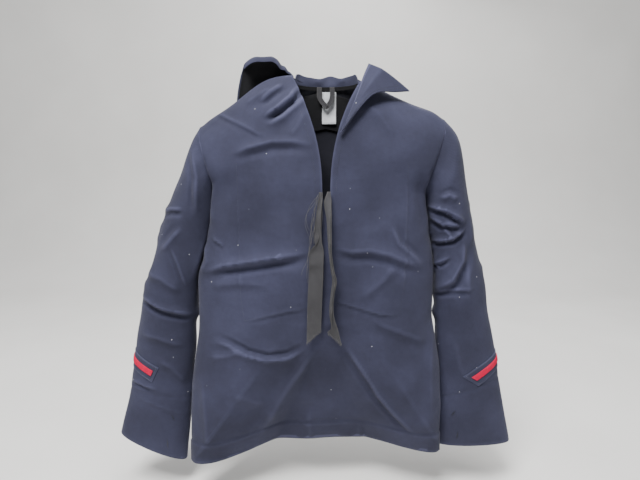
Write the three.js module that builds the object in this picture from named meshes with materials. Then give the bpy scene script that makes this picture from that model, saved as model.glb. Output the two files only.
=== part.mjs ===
// A sailor's pullover jumper in navy wool, hanging as it does from its shoulders.
// Millimetres, +Z up. The coat faces -Y, and -X is the wearer's right.
// The origin is the middle of the neck opening, level with the top of the shoulders,
// where the hook of a coat hanger comes out.
import * as THREE from 'three';

// ---------------------------------------------------------------- driving dimensions
const cloth = 1.6; // wool cloth with its turned edges
const tape = 1.0; // woven tape of the ties and the hanging loop
const clear = 1.0; // between pieces that lie face to face
const seamGap = 2.2; // between the edges of two panels that meet at a seam

const bodyLength = 706; // shoulder line to hem
const neckHalf = 62; // half the width of the neck opening
const slitDepth = 203; // shoulder line to the bottom of the front slit
const slitHalf = 9; // half the width of the slit at its bottom
const shoulderHalf = 228; // middle to the shoulder tip
const shoulderDrop = 78; // the tip below the neck point
const underarmHalf = 190;
const underarmDrop = 202;
const hemHalf = 233; // half the width of the coat low down
const lean = 18; // the hem hangs this far to the wearer's right
const frontDepth = 66; // chest in front of the shoulder line
const backDepth = 50; // back behind it
const middleRecess = 88; // how far the front falls in between its two side folds, at the hem
const recessTop = 410; // where that begins
const collarLength = 262; // back flap of the sailor collar, fold to edge
const collarHalf = 176;
const collarStand = 17; // height of the collar's fold above the neck seam
const tieWidth = 26;
const tieLength = 264;

// ---------------------------------------------------------------- materials
const material = (color, roughness, metalness = 0) =>
  new THREE.MeshStandardMaterial({ color, roughness, metalness });
const navyWool = material(0x23242f, 0.93);
const blackLining = material(0x0d0e12, 0.85);
const blackTape = material(0x2c2b2a, 0.8);
const whiteLabel = material(0xd8dbdd, 0.7);
const redFelt = material(0xc3122f, 0.9);
const darkButton = material(0x15161a, 0.4);

const coat = new THREE.Group();
function add(name, geometry, finish) {
  const mesh = new THREE.Mesh(geometry, finish);
  mesh.name = name;
  coat.add(mesh);
  return mesh;
}

// ---------------------------------------------------------------- small maths
const lerp = (a, b, t) => a + (b - a) * t;
const clamp01 = (t) => Math.min(1, Math.max(0, t));
const smooth = (t) => clamp01(t) ** 2 * (3 - 2 * clamp01(t));
const gauss = (t) => Math.exp(-t * t);
const sideName = (side) => (side < 0 ? 'right' : 'left');

// ---------------------------------------------------------------- thin closed solids
// A sheet is a grid of points, given a thickness along its own normals and closed by rims.
// point(i, j) returns [x, y, z] for column i and row j; present(i, j) says whether the cell
// between columns i, i + 1 and rows j, j + 1 is there. wrap joins the last column to the first,
// and offset shifts the whole sheet along the normals.
function sheet(point, columns, rows, thickness, { wrap = false, present = () => true, offset = 0 } = {}) {
  const across = wrap ? columns : columns + 1;
  const middle = [];
  for (let j = 0; j <= rows; j++) {
    for (let i = 0; i < across; i++) middle.push(new THREE.Vector3(...point(i, j)));
  }
  const column = (i) => (wrap ? (i + across) % across : Math.min(Math.max(i, 0), across - 1));
  const row = (j) => Math.min(Math.max(j, 0), rows);
  const at = (i, j) => middle[row(j) * across + column(i)];
  const positions = [];
  for (const side of [0.5, -0.5]) {
    for (let j = 0; j <= rows; j++) {
      for (let i = 0; i < across; i++) {
        const along = at(i + 1, j).clone().sub(at(i - 1, j));
        const down = at(i, j + 1).clone().sub(at(i, j - 1));
        const normal = along.cross(down).normalize();
        const p = at(i, j).clone().addScaledVector(normal, offset + side * thickness);
        positions.push(p.x, p.y, p.z);
      }
    }
  }
  const layer = across * (rows + 1);
  const index = [];
  const exists = (i, j) => {
    if (j < 0 || j >= rows) return false;
    if (!wrap && (i < 0 || i >= columns)) return false;
    return present(wrap ? (i + columns) % columns : i, j);
  };
  const quad = (a, b, c, d) => index.push(a, b, c, a, c, d);
  for (let j = 0; j < rows; j++) {
    for (let i = 0; i < columns; i++) {
      if (!exists(i, j)) continue;
      const a = j * across + i;
      const b = j * across + column(i + 1);
      const c = (j + 1) * across + column(i + 1);
      const d = (j + 1) * across + i;
      quad(a, b, c, d);
      index.push(layer + a, layer + c, layer + b, layer + a, layer + d, layer + c);
      if (!exists(i, j - 1)) quad(layer + a, layer + b, b, a);
      if (!exists(i, j + 1)) quad(layer + c, layer + d, d, c);
      if (!exists(i - 1, j)) quad(layer + d, layer + a, a, d);
      if (!exists(i + 1, j)) quad(layer + b, layer + c, c, b);
    }
  }
  const used = new Map();
  const kept = [];
  const compact = index.map((k) => {
    if (!used.has(k)) {
      used.set(k, kept.length / 3);
      kept.push(...positions.slice(3 * k, 3 * k + 3));
    }
    return used.get(k);
  });
  const geometry = new THREE.BufferGeometry();
  geometry.setAttribute('position', new THREE.Float32BufferAttribute(kept, 3));
  geometry.setIndex(compact);
  if (signedVolume(geometry) < 0) {
    for (let k = 0; k < compact.length; k += 3) {
      [compact[k + 1], compact[k + 2]] = [compact[k + 2], compact[k + 1]];
    }
    geometry.setIndex(compact);
  }
  geometry.computeVertexNormals();
  return geometry;
}

function signedVolume(geometry) {
  const at = geometry.getAttribute('position');
  const index = geometry.index.array;
  const corner = (k) => new THREE.Vector3().fromBufferAttribute(at, index[k]);
  let sum = 0;
  for (let k = 0; k < index.length; k += 3) {
    sum += corner(k).dot(corner(k + 1).cross(corner(k + 2))) / 6;
  }
  return sum;
}

// ---------------------------------------------------------------- the coat's form
// Middle line of the coat at a height: it leans to the wearer's right going down.
const middleX = (z) => -lean * (1 - Math.exp(z / 170));

// Height of the shoulder ridge over a place across the coat.
function ridge(x) {
  const out = Math.max(0, Math.abs(x) - neckHalf) / (shoulderHalf - neckHalf);
  return -shoulderDrop * out ** 1.12;
}

// How far front and back stand from the shoulder line, growing with the drop below the ridge.
// edge is the depth at the ridge itself.
function fullness(x, z, edge, depth) {
  const drop = Math.max(0, ridge(x) - z);
  return edge + (depth - edge) * (1 - Math.exp(-((drop / 57) ** 0.78)));
}

// The front falls in between its side folds, more and wider towards the hem.
function recess(x, z) {
  const down = clamp01((-z - recessTop) / (bodyLength - recessTop));
  return middleRecess * smooth(down) * gauss((x - middleX(z) * 0.3) / lerp(26, 92, down));
}

// Half the width of the body at a height below the underarm.
const bodyHalf = (z) => underarmHalf + (hemHalf - underarmHalf) * (1 - Math.exp((z + underarmDrop) / 130));

// Hem height: the middle is a little higher than the two front corners.
const hemZ = (x) => -bodyLength + 7 * gauss(x / 110) + 6 * smooth((x + 230) / 460);

// Edge of the neck slit and of the armhole in the front and back panels, by share of the drop.
const neckEdge = (share) => [slitHalf + (neckHalf - slitHalf) * (1 - share) ** 2.2, -slitDepth * share];
function armEdge(share) {
  const x = lerp(shoulderHalf, underarmHalf, share ** 1.1);
  const z = lerp(-shoulderDrop, -underarmDrop, share);
  return [x, z];
}
// The armhole opens into an oval: this is how far its edge stands from the side's mid-plane.
const armholeDepth = (share) => 34 * Math.sqrt(Math.max(0, 1 - (2 * share - 1) ** 2));

const yokeRows = 9; // rows from the shoulder line to the underarm
const bodyRows = 13; // rows from there to the hem; the last one is as deep as the hem facing
const hemRow = yokeRows + bodyRows;
const halfColumns = 9; // columns on each side of the middle
const neckColumns = 3; // of these, the ones that end in the neck opening
const fullSide = 2.6; // power of the rounded cross-section

// Share of the way from the middle to the side for column position u. The back panel's top
// row gives its first columns to the neck opening.
function spread(face, u, share) {
  const even = Math.sin((Math.PI / 2) * u);
  if (face < 0) return even;
  const neckU = neckColumns / halfColumns;
  const neckShare = neckHalf / shoulderHalf;
  const split = u < neckU
    ? neckShare * Math.sin((Math.PI / 2) * (u / neckU))
    : lerp(neckShare, 1, (u - neckU) / (1 - neckU));
  return lerp(split, even, smooth(share * 2));
}

// A point of the front (face -1) or back (face 1) panel. side is -1 or 1, u runs from the
// middle (0) to the side (1), and row counts down from the shoulder line.
function panelPoint(face, side, u, row) {
  const inYoke = row <= yokeRows;
  const share = inYoke ? (row / yokeRows) ** 1.35 : 1;
  const z = lerp(-slitDepth, -bodyLength, Math.max(0, row - yokeRows) / bodyRows);
  const below = face < 0 ? slitHalf * 0.6 : 0;
  const inner = inYoke ? innerEdge(face, share) : [below, z];
  const outer = inYoke ? armEdge(share) : [bodyHalf(z), z];
  const edgeDepth = inYoke ? armholeDepth(share) : 0;
  const across = spread(face, u, share);
  const x0 = lerp(inner[0], outer[0], across);
  let height = lerp(inner[1], outer[1], across);
  if (inYoke && row > 0) height = Math.min(height, ridge(x0) - 1);
  if (row === 0) height = ridge(x0);
  const x = side * x0 + middleX(height) * across;
  if (!inYoke) height *= hemZ(x) / -bodyLength;
  const depth = face < 0
    ? fullness(x0, height, seamGap / 2, frontDepth)
    : fullness(x0, height, backNeck(x0, height), backDepth);
  const bulge = (1 - across ** fullSide) ** (1 / fullSide);
  let y = seamGap / 2 + edgeDepth + Math.max(0, depth - edgeDepth) * bulge;
  if (row === 0) y = depth;
  y *= face;
  if (face < 0) y += recess(x, height);
  return [x, y, height];
}
const innerEdge = (face, share) => (face < 0 ? neckEdge(share) : [0, -slitDepth * share]);
// The back of the neck opening is half an oval behind the shoulder line.
const neckBack = 44;
const neckOval = (x) => seamGap / 2 + neckBack * Math.sqrt(Math.max(0, 1 - (x / neckHalf) ** 2));
// Further down, the oval spreads out into the back.
function backNeck(x, z) {
  const spreadOut = smooth((ridge(x) - z) / 42);
  return lerp(neckOval(x), neckBack * gauss(x / 80), spreadOut);
}

// ---------------------------------------------------------------- body panels
// first and last are rows, and reach is how many columns each side of the middle are there.
// A facing lies inside its panel, on the same grid.
const facingOffset = cloth + 2; // middle of the facing to middle of the panel
function bodyPanel(face, { first = 0, last = hemRow, reach = halfColumns, offset = 0, trim = 1 } = {}) {
  const middleColumns = face < 0 ? 1 : 0;
  const point = (i, j) => {
    const side = i <= halfColumns ? -1 : 1;
    const u = (side < 0 ? halfColumns - i : i - halfColumns - middleColumns) / halfColumns;
    return panelPoint(face, side, u * trim, first + j);
  };
  const slit = (i, j) => face < 0 && i === halfColumns && first + j < yokeRows;
  const within = (i) => i >= halfColumns - reach && i < halfColumns + reach + middleColumns;
  return sheet(point, 2 * halfColumns + middleColumns, last - first, cloth, {
    present: (i, j) => within(i) && !slit(i, j), offset: -face * offset,
  });
}
add('front_panel', bodyPanel(-1), navyWool);
add('back_panel', bodyPanel(1), navyWool);
add('front_facing', bodyPanel(-1, {
  first: 1, last: yokeRows + 5, reach: 5, offset: facingOffset,
}), blackLining);
add('yoke_lining', bodyPanel(1, { first: 1, last: 4, reach: 6, offset: facingOffset + 1 }), blackLining);
add('front_hem_facing', bodyPanel(-1, { first: hemRow - 1, offset: facingOffset, trim: 0.99 }), navyWool);
add('back_hem_facing', bodyPanel(1, { first: hemRow - 1, offset: facingOffset, trim: 0.99 }), navyWool);

// Tape along each shoulder seam, under the ridge.
for (const side of [-1, 1]) {
  const drop = 10;
  const halfWidth = 4;
  const point = (i, j) => {
    const x = lerp(neckHalf + 12, shoulderHalf - 14, j / 6);
    const z = ridge(x) - drop;
    return [side * x + middleX(z), lerp(-halfWidth, halfWidth, i), z];
  };
  add(`${sideName(side)}_shoulder_tape`, sheet(point, 1, 6, tape), blackTape);
}

// ---------------------------------------------------------------- sleeves
// Each sleeve is a loft of rings between its outer edge and its inner edge, seen from the front.
// The first ring is the armhole. Edge points are [distance out from the coat's middle, height].
const sleeveEdges = {
  right: {
    outer: [
      [248, -112], [264, -151], [285, -197], [306, -254], [330, -320],
      [350, -385], [366, -455], [379, -525], [392, -600], [414, -684],
    ],
    inner: [
      [212, -222], [219, -244], [226, -275], [233, -312], [242, -358],
      [251, -410], [258, -470], [264, -540], [271, -620], [284, -742],
    ],
  },
  left: {
    outer: [
      [236, -110], [244, -142], [256, -188], [268, -240], [282, -295],
      [298, -352], [314, -425], [328, -500], [343, -580], [368, -702],
    ],
    inner: [
      [188, -222], [194, -244], [200, -275], [206, -312], [211, -358],
      [215, -410], [218, -470], [220, -540], [222, -620], [224, -706],
    ],
  },
};
const cuffRow = 12; // the cuff's seam
const sleeveShares = [
  0, 0.05, 0.11, 0.18, 0.26, 0.34, 0.43, 0.52, 0.61, 0.7, 0.78, 0.84, 0.886, 0.94, 1,
];
const sleeveRows = sleeveShares.length - 1;
const ringAngles = [0, 24, 48, 72, 96, 120, 144, 162, 176, 184, 198, 216, 240, 264, 288, 312, 336];
const ventColumn = 8; // the narrow column at the inner edge, open at the cuff
const armholeStep = 2.2; // the sleeve starts this far outside the panel's edge
const sleeveLength = 620;
const stripePlace = { right: 0.795, left: 0.829 }; // where it crosses the outer edge, along the sleeve
const stripeSlope = 0.044; // along the sleeve, for each radian round it
const stripeWidth = 10;
const stripePatch = 30;
const stripeReach = 1.15; // radians from the outer edge to each end of the stripe
const patchReach = 1.38; // and of its patch
const patchLift = 2.6; // middle of the stripe's backing patch outside the middle of the cloth
const buttonRadius = 7;
const buttonThick = 2.4;
const buttonAngle = Math.PI * 1.28;
const buttonLift = 4.9; // middle of the button outside the middle of the cloth
const up = new THREE.Vector3(0, 1, 0);
const cuffButtons = [0.925, 0.968]; // along the sleeve

function sleeveCurve(name, which) {
  const side = name === 'right' ? -1 : 1;
  const [x, z] = armEdge(which === 'outer' ? 0 : 1);
  const start = [side * (x + armholeStep) + middleX(z), z];
  const points = [start, ...sleeveEdges[name][which].map(([out, height]) => [side * out, height])];
  return new THREE.CatmullRomCurve3(points.map(([px, pz]) => new THREE.Vector3(px, 0, pz)));
}
const sleeveCurves = {};
for (const name of ['right', 'left']) {
  sleeveCurves[name] = { outer: sleeveCurve(name, 'outer'), inner: sleeveCurve(name, 'inner') };
}

// Half the sleeve's depth front to back, and how far its middle stands behind the shoulder line.
const sleeveHalfDepth = (t) => lerp(34, 50, smooth(t * 5)) - 26 * smooth((t - 0.25) / 0.75);
const sleeveBack = (t) => 13 * smooth(t * 2.5);

// A point on the sleeve: t runs from the armhole to the cuff, angle is 0 at the outer edge,
// and goes to the front first; out moves the point away from the sleeve's middle.
function sleevePoint(name, t, angle, out = 0) {
  const outer = sleeveCurves[name].outer.getPoint(t);
  const inner = sleeveCurves[name].inner.getPoint(t);
  const centre = outer.clone().add(inner).multiplyScalar(0.5);
  const half = outer.clone().sub(inner).multiplyScalar(0.5);
  const reach = half.length();
  half.multiplyScalar((reach + out) / reach);
  // At the armhole the ring follows the bowed edge of the panels.
  const share = (1 - Math.cos(angle)) / 2;
  const side = name === 'right' ? -1 : 1;
  const [ex] = armEdge(share);
  const chord = lerp(armEdge(0)[0], armEdge(1)[0], share);
  const bow = side * (ex - chord) * (1 - smooth(t * 6));
  const flat = Math.sign(Math.sin(angle)) * Math.abs(Math.sin(angle)) ** 0.85;
  return [
    centre.x + half.x * Math.cos(angle) + bow,
    sleeveBack(t) - (sleeveHalfDepth(t) + out) * flat,
    centre.z + half.z * Math.cos(angle),
  ];
}
const ringAngle = (i) => (ringAngles[i % ringAngles.length] * Math.PI) / 180;

for (const name of ['right', 'left']) {
  const side = name === 'right' ? -1 : 1;
  const tube = (first, offset) =>
    sheet((i, j) => sleevePoint(name, sleeveShares[first + j], ringAngle(i)),
      ringAngles.length, sleeveRows - first, cloth,
      { wrap: true, offset, present: (i, j) => i !== ventColumn || first + j < cuffRow });
  add(`${name}_sleeve`, tube(0, 0), navyWool);
  add(`${name}_cuff_facing`, tube(cuffRow, -side * facingOffset), navyWool);

  // Rank stripe: a dark backing patch with a red strip on it, wrapped round the outer edge
  // and sloping as it goes round.
  const wrapped = (halfAngle, halfWidth, lift) =>
    sheet((i, j) => {
      const angle = lerp(halfAngle, -halfAngle, j / 10);
      const t = stripePlace[name] + stripeSlope * angle + lerp(-halfWidth, halfWidth, i / 2) / sleeveLength;
      return sleevePoint(name, t, angle, lift);
    }, 2, 10, tape);
  add(`${name}_stripe_patch`, wrapped(patchReach, stripePatch / 2, patchLift), navyWool);
  add(`${name}_stripe`, wrapped(stripeReach, stripeWidth / 2, patchLift + tape + clear), redFelt);

  // Two buttons on the back half of the cuff, beside the vent.
  ['upper', 'lower'].forEach((place, k) => {
    const seat = new THREE.Vector3(...sleevePoint(name, cuffButtons[k], buttonAngle));
    const centre = new THREE.Vector3(...sleevePoint(name, cuffButtons[k], buttonAngle, buttonLift));
    const turn = new THREE.Quaternion().setFromUnitVectors(up, centre.clone().sub(seat).normalize());
    const button = new THREE.CylinderGeometry(buttonRadius, buttonRadius, buttonThick, 20);
    add(`${name}_cuff_button_${place}`, button.applyQuaternion(turn).translate(...centre), darkButton);
  });
}

// ---------------------------------------------------------------- neck and collar
// A strip round the back of the neck opening, following the oval of the back panel's top edge.
// inward moves it towards the middle of the opening.
function neckStrip(reach, low, high, inward, thickness) {
  const count = 18;
  return sheet((i, j) => {
    const angle = lerp(-reach, reach, i / count);
    const across = (neckHalf - inward) * Math.sin(angle);
    const back = (neckOval(0) - inward) * Math.cos(angle);
    return [across, back, lerp(low, high, j)];
  }, count, 1, thickness);
}
add('neck_tape', neckStrip(1.25, -9.2, -1.5, facingOffset, tape), blackTape);
add('collar_stand', neckStrip(1.3, 1.6, collarStand - 2.4, 0, cloth), navyWool);

// The back flap hangs from its fold, behind the back panel, on a hinge line. Its top edge follows
// the shoulders, and its top corners come forward over them.
const flapTop = collarStand;
const flapMiddle = backDepth + 4; // middle of the lining, behind the back panel
const flapSlope = 0.52; // of its top edge
const flapRows = 8;
const flapColumns = 12;
function flap(offset, inset) {
  return sheet((i, j) => {
    const down = j / flapRows;
    const across = Math.abs(i / flapColumns - 0.5) * 2;
    const out = across * (lerp(collarHalf - 14, collarHalf, down) - inset * 0.6);
    const top = flapTop - inset - flapSlope * Math.max(0, out - neckHalf);
    const forward = 20 * smooth((out - neckHalf) / 90) * (1 - smooth(down * 3));
    return [
      Math.sign(i / flapColumns - 0.5) * out,
      flapMiddle + offset + lerp(-3.2, 5, smooth(down * 4)) - forward,
      lerp(top, flapTop - collarLength + inset, down),
    ];
  }, flapColumns, flapRows, cloth);
}
add('collar_flap', flap(facingOffset, 0), navyWool);
add('collar_flap_lining', flap(0, 6), navyWool);

// Front end of the collar on the wearer's left: folded out over the chest like a lapel, from a
// point beside the slit up over the shoulder.
{
  const rows = 7;
  const inner = [
    [29, -86], [38, -62], [50, -36], [62, -10], [72, 12], [77, 30], [80, 33], [82, 31],
  ];
  const outer = [
    [33, -84], [55, -57], [80, -35], [105, -23], [130, -19], [152, -17], [153, -14], [153, -11],
  ];
  const depth = [-61, -58, -52, -42, -27, -8, 3, 12];
  add('left_collar_front', sheet((i, j) => {
    const across = i / 4;
    const x = lerp(inner[j][0], outer[j][0], across);
    const z = lerp(inner[j][1], outer[j][1], across);
    const standOff = fullness(x, Math.min(z, ridge(x)), 0, frontDepth) + 5;
    const lift = j < 5 ? -Math.max(standOff, -depth[j] * (1 - across * 0.6)) : depth[j];
    return [x, lift, z + 5 * Math.sin(Math.PI * across) * (j / rows)];
  }, 4, rows, cloth), navyWool);
}

// On the wearer's right it stands up behind the shoulder and curls forward at the top.
{
  const rows = 8;
  const columns = 8;
  const curl = 2.4; // radians that the rim turns forward
  const stand = 18; // behind the shoulder line
  const rimHeight = (s) =>
    43 - 11 * Math.max(0, 1 - s / 0.3) ** 2 - 24 * Math.max(0, (s - 0.7) / 0.3) ** 2;
  add('right_collar_front', sheet((i, j) => {
    const s = i / columns;
    const q = j / rows;
    const foot = ridge(lerp(-156, -66, s)) + 3;
    const radius = Math.min(14, (rimHeight(s) - foot) * 0.45);
    const middle = rimHeight(s) - radius;
    const turn = Math.max(0, q - 0.5) * 2 * curl;
    return [
      lerp(-156, -66, s) + 11 * (1 - s) * q,
      stand - radius * (1 - Math.cos(turn)),
      q < 0.5 ? lerp(foot, middle, 2 * q) : middle + radius * Math.sin(turn),
    ];
  }, columns, rows, cloth), navyWool);
}

// ---------------------------------------------------------------- label, loop and ties
// Label sewn to the yoke lining.
const labelWidth = 27;
const labelHeight = 60;
const labelMiddle = 6.5;
const labelTop = -11;
add('label', sheet((i, j) => {
  const x = labelMiddle + lerp(-0.5, 0.5, i / 2) * labelWidth;
  const z = labelTop - labelHeight * (j / 4);
  return [x, backAt(x, z) - 2 * facingOffset - 0.4, z];
}, 2, 4, 0.8), whiteLabel);

// Depth of the back panel over a place.
function backAt(x, z) {
  const across = Math.abs(x - middleX(z)) / shoulderHalf;
  return fullness(x, z, backNeck(x, z), backDepth) * (1 - across ** fullSide) ** (1 / fullSide);
}

// Hanging loop: a tape folded into a V with a mitred bottom.
const loopWidth = 9;
const loopSpan = 24; // between the middles of its two ends
const loopDrop = 42;
const loopY = neckOval(0) - facingOffset - 9;
{
  const halfSpan = loopSpan / 2;
  const side = loopWidth / 2;
  const shape = new THREE.Shape([
    [-halfSpan - side, 0], [-halfSpan + side, 0], [0, -loopDrop + side * 2.2], [halfSpan - side, 0],
    [halfSpan + side, 0], [side * 0.9, -loopDrop], [-side * 0.9, -loopDrop],
  ].map(([x, z]) => new THREE.Vector2(x, z)));
  const loop = new THREE.ExtrudeGeometry(shape, { depth: tape, bevelEnabled: false });
  add('hanging_loop', loop.rotateX(Math.PI / 2).translate(0, loopY, -3), blackTape);
}

// The two ties, from the bottom of the slit.
const tieTop = -slitDepth + 2;
const tieY = -frontDepth - 3;
const ties = {
  right: { top: -15, bottom: -22, width: tieWidth, twist: 0.1, slant: -12 },
  left: { top: 13, bottom: 10, width: tieWidth * 0.72, twist: 0.5, slant: 10 },
};
for (const [name, tie] of Object.entries(ties)) {
  const rows = 12;
  add(`${name}_tie`, sheet((i, j) => {
    const down = j / rows;
    const turn = tie.twist * Math.sin(down * Math.PI * 1.5);
    const across = lerp(-0.5, 0.5, i / 2) * lerp(tie.width * 0.6, tie.width, smooth(down * 5));
    const slanted = down === 1 ? tie.slant * lerp(-0.5, 0.5, i / 2) : 0;
    return [
      lerp(tie.top, tie.bottom, down) + across * Math.cos(turn),
      tieY - 1.5 * Math.sin(down * 9) ** 2 - Math.abs(Math.sin(turn)) * 6 + across * Math.sin(turn) * 0.6,
      lerp(tieTop, tieTop - tieLength, down) + slanted,
    ];
  }, 2, rows, tape), blackTape);
}

export default coat;
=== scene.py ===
import math
import bpy
import numpy as np
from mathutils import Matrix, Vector
from mathutils.bvhtree import BVHTree


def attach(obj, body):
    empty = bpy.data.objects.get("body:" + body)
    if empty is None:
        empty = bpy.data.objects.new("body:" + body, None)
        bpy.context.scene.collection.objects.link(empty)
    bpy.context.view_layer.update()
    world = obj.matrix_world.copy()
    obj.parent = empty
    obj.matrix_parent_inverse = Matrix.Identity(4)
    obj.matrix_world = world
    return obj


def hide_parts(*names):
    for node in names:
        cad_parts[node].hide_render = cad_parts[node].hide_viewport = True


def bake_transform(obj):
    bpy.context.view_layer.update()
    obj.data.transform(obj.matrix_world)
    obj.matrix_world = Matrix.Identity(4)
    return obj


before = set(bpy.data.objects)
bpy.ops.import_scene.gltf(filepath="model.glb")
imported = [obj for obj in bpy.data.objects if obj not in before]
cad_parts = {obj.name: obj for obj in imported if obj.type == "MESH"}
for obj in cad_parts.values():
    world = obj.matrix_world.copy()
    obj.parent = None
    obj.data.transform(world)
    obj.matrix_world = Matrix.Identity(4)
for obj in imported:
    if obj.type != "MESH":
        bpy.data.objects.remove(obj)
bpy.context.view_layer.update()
MM = 0.001

# --- camera
camera_data = bpy.data.cameras.new("camera")
camera_data.lens = 26
camera_data.sensor_width = 36
camera = bpy.data.objects.new("camera", camera_data)
camera.location = (-0.011, -0.878, -0.188)
camera.rotation_euler = (math.radians(90 - 6.8), 0, 0)
bpy.context.scene.collection.objects.link(camera)
bpy.context.scene.camera = camera

# --- the coat's form, in mm
BODY = 706  # from the shoulders' top down to the hem
NECK = 62  # half the neck's width
NECK_BACK = 44
SLIT = 203
SLIT_HALF = 7
SHOULDER = 228  # out to the shoulder tip, which is DROP lower than the neck
DROP = 78
UNDERARM = 190
UNDERARM_DROP = 202
ARMHOLE_HALF = 34  # half the armhole's depth from front to back
ARMHOLE_POINT = 1.9
SLEEVE_ROUND = 0.85  # below 1 is boxier than an ellipse
HEM_HALF = 233
HEM_TURN = 39
FRONT_DEPTH = 66
BACK_DEPTH = 50
CLOTH = 1.7
FACING = 2.2  # how far the turned-in layers lie inside the outer cloth
TAPE_WIDTH = 26


def lerp(a, b, t):
    return a + (b - a) * t


def smooth(t):
    t = np.clip(t, 0, 1)
    return t * t * (3 - 2 * t)


def gauss(t):
    return np.exp(-t * t)


def middle_x(z):
    return -18 * (1 - np.exp(z / 170))


def ridge(x):
    """Height of the shoulder line."""
    return -DROP * (np.maximum(0, np.abs(x) - NECK) / (SHOULDER - NECK)) ** 1.12


def fullness(x, z, edge, depth):
    """The body deepens quickly below the shoulder line."""
    drop = np.maximum(0, ridge(x) - z)
    return edge + (depth - edge) * (1 - np.exp(-((drop / 57) ** 0.78)))


def recess(x, z):
    """The front falls in below a point on the chest, to a flat middle that widens downwards."""
    down = np.clip((-z - 440) / (BODY - 440), 0, 1)
    out = np.maximum(0, np.abs(x + 8 * down) - lerp(4, 92, down))
    return 80 * down ** 1.15 * (1 - np.clip(out / lerp(60, 150, down), 0, 1)) ** 1.1


def flare(x, z):
    """How far the two lower corners swing forward."""
    low = smooth((-z - 380) / (BODY - 380))
    return -np.where(x < 0, 34, 24) * low * smooth((np.abs(x) - 60) / 180)


def lifted(grid):
    """The shoulders are pushed up by what they hang on, differently on each side."""
    x, z = grid[..., 0], grid[..., 2]
    near = smooth(1 - (ridge(x) - z) / 95)
    grid = grid.copy()
    grid[..., 2] += near * (21 * gauss((x + 110) / 58) + 13 * gauss((x - 222) / 52))
    # The shoulder tips are rounded.
    for side in (-1, 1):
        tip = gauss(np.hypot(x - side * SHOULDER - middle_x(-DROP), z + DROP) / 19)
        grid[..., 0] -= side * 3.2 * tip
        grid[..., 2] -= 4.6 * tip
    return grid


def neck_oval(x):
    return NECK_BACK * np.sqrt(np.maximum(0, 1 - (x / NECK) ** 2))


def back_neck(x, z):
    return lerp(neck_oval(x), NECK_BACK * gauss(x / 80), smooth((ridge(x) - z) / 42))


def hem_z(x):
    corners = 10 * smooth((-x - 110) / 130) + 4 * smooth((x - 110) / 110)
    return -BODY + 7 * gauss(x / 110) + 4 * smooth((x + 230) / 460) - corners


def arm_edge(share):
    return lerp(SHOULDER, UNDERARM, share ** 1.1), lerp(-DROP, -UNDERARM_DROP, share)


def armhole(share, low=ARMHOLE_POINT):
    """The armhole's depth from 0 to 1: round above, coming to a point under the arm."""
    power = lerp(SLEEVE_ROUND, low, smooth((share - 0.4) / 0.6))
    return np.maximum(0, 1 - (2 * share - 1) ** 2) ** (power / 2)


def sway(side, z):
    """How far a side seam swings out from its even line."""
    if side < 0:
        return 7 * gauss((z + 357) / 38) + 10 * smooth((-z - 450) / 130)
    return 3 * gauss((z + 335) / 40) - 5 * gauss((z + 430) / 36) + 8 * smooth((-z - 465) / 80)


YOKE_ROWS, BODY_ROWS = 9, 13


def panel_points(face, side, u, row):
    """Front (face -1) or back (1); side -1 is the wearer's right; u 0 middle to 1 side."""
    u, row = np.broadcast_arrays(u, row)
    yoke = row <= YOKE_ROWS
    share = np.where(yoke, (np.minimum(row, YOKE_ROWS) / YOKE_ROWS) ** 1.35, 1)
    low = lerp(-SLIT, -BODY, np.maximum(0, row - YOKE_ROWS) / BODY_ROWS)
    if face < 0:
        inner_x = np.where(yoke, SLIT_HALF + (NECK - SLIT_HALF) * (1 - share) ** 2.2,
                           SLIT_HALF * (1 - smooth((row - YOKE_ROWS) / 0.8)))
        across = np.sin(math.pi / 2 * u)
    else:
        inner_x = np.zeros_like(share)
        edge_u, edge_x = 1 / 3, NECK / SHOULDER
        split = np.where(u < edge_u, edge_x * np.sin(math.pi / 2 * np.minimum(1, u / edge_u)),
                         lerp(edge_x, 1, (u - edge_u) / (1 - edge_u)))
        across = lerp(split, np.sin(math.pi / 2 * u), smooth(share * 2))
    inner_z = np.where(yoke, -SLIT * share, low)
    arm_x, arm_z = arm_edge(share)
    half = UNDERARM + (HEM_HALF - UNDERARM) * (1 - np.exp((low + UNDERARM_DROP) / 130))
    outer_x, outer_z = np.where(yoke, arm_x, half), np.where(yoke, arm_z, low)
    x0 = lerp(inner_x, outer_x, across)
    z = lerp(inner_z, outer_z, across)
    z = np.where(yoke & (row > 0), np.minimum(z, ridge(x0) - 0.5), z)
    z = np.where(row <= 0, ridge(x0), z)
    x = side * x0 + middle_x(z) * across + side * sway(side, z) * across ** 2
    z = np.where(yoke, z, z * lerp(1, hem_z(x) / -BODY, smooth((-z - SLIT) / (BODY - SLIT))))
    edge_depth = np.where(yoke, ARMHOLE_HALF * armhole(share), 0)
    edge = 0 * x if face < 0 else back_neck(x0, z)
    depth = fullness(x0, z, edge, FRONT_DEPTH if face < 0 else BACK_DEPTH)
    power = lerp(2.6, 1.7, smooth((-z - 420) / 260)) if face < 0 else 2.6
    bulge = (1 - across ** power) ** (1 / power)
    y = edge_depth + np.maximum(0, depth - edge_depth) * bulge
    y = np.where(row <= 0, depth, y) * face
    if face < 0:
        y = y + recess(x, z)
    return lifted(np.stack([x, y + flare(x, z), z], -1))


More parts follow.
